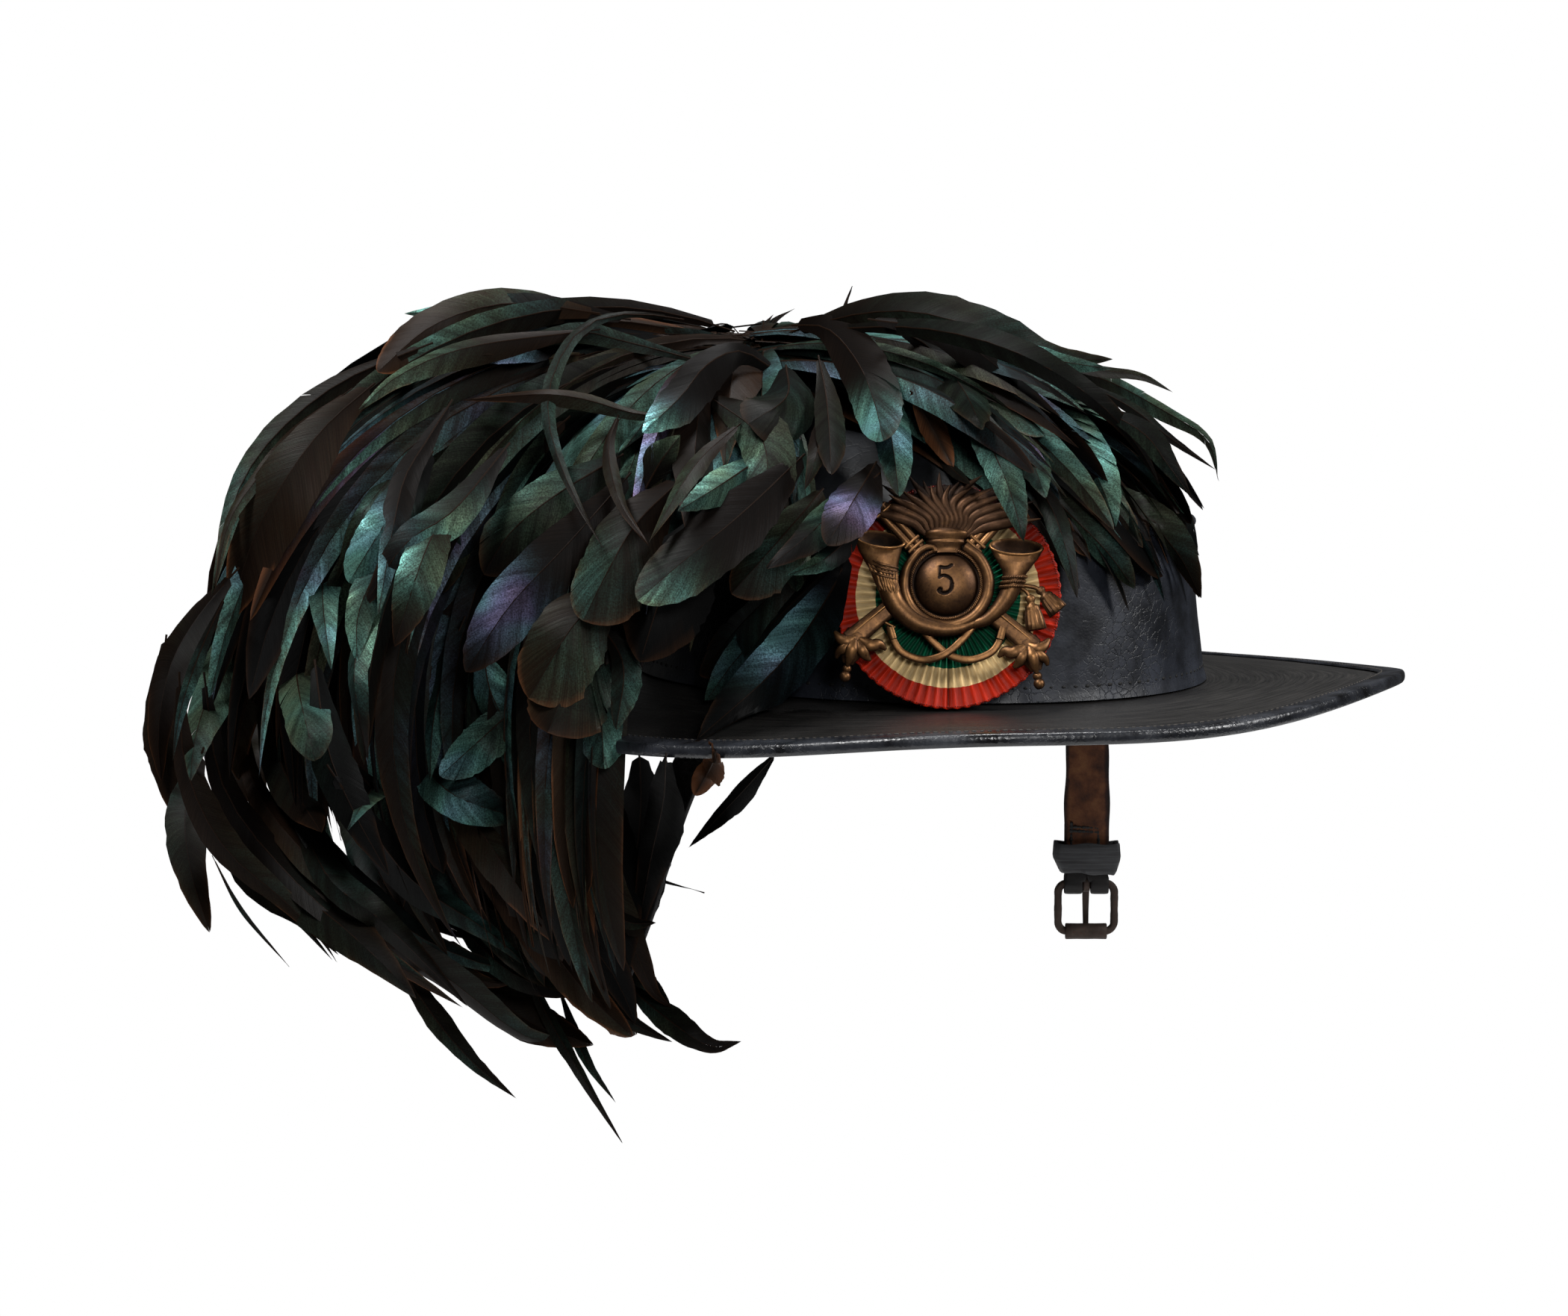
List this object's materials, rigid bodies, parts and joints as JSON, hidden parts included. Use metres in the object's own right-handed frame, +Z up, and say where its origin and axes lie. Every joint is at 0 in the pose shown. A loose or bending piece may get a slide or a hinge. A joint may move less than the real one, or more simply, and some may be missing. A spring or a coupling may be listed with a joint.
{
  "type": "bersaglieri hat",
  "caption": "Wide-brimmed dark leather light infantry hat with a falling cock-feather plume, a pleated cockade under a grenade and horn badge, and an open chin strap.",
  "frame": {"origin": "middle of the head opening, level with the top of the brim beside the crown, where the hat sits on a head", "axes": "+Z up, -Y to the hat's front, +X to the wearer's left; the plume is on the -X side"},
  "size_m": [0.3966, 0.3402, 0.2509],
  "materials": {
    "crown_leather": "old painted leather, dull",
    "band_leather": "cracked painted leather with a blue-grey bloom",
    "brim_leather": "rubbed painted leather, streaked along the brim",
    "binding_leather": "glossy rolled edge leather",
    "ribbon": "pleated silk ribbon in green, cream and red rings",
    "badge_brass": "dark patinated brass, rubbed on the high parts",
    "feathers": "black cock feathers with green and blue iridescence",
    "strap_leather": "black strap leather, creased",
    "flesh_leather": "brown rough side of strap leather",
    "buckle_iron": "dark rusted iron"
  },
  "bodies": {
    "root": {"crown": "crown_leather", "side_band": "band_leather", "brim": "brim_leather", "brim_binding": "binding_leather", "cockade": "ribbon", "badge": "badge_brass", "plume": "feathers", "buckle_strap": "flesh_leather", "strap_keeper": "strap_leather", "buckle_frame": "buckle_iron", "long_strap": "strap_leather"},
    "prong": {"buckle_prong": "buckle_iron"},
    "roller": {"buckle_roller": "buckle_iron"}
  },
  "joints": [
    {"name": "prong_swing", "type": "hinge", "parent": "root", "child": "prong", "pos_m": [0.0792, 0.0066, -0.078], "axis": [0.788, -0.6157, 0], "range_deg": [0, 90]},
    {"name": "roller_spin", "type": "hinge", "parent": "root", "child": "roller", "pos_m": [0.0792, 0.0066, -0.0945], "axis": [0.788, -0.6157, 0], "continuous": true}
  ]
}
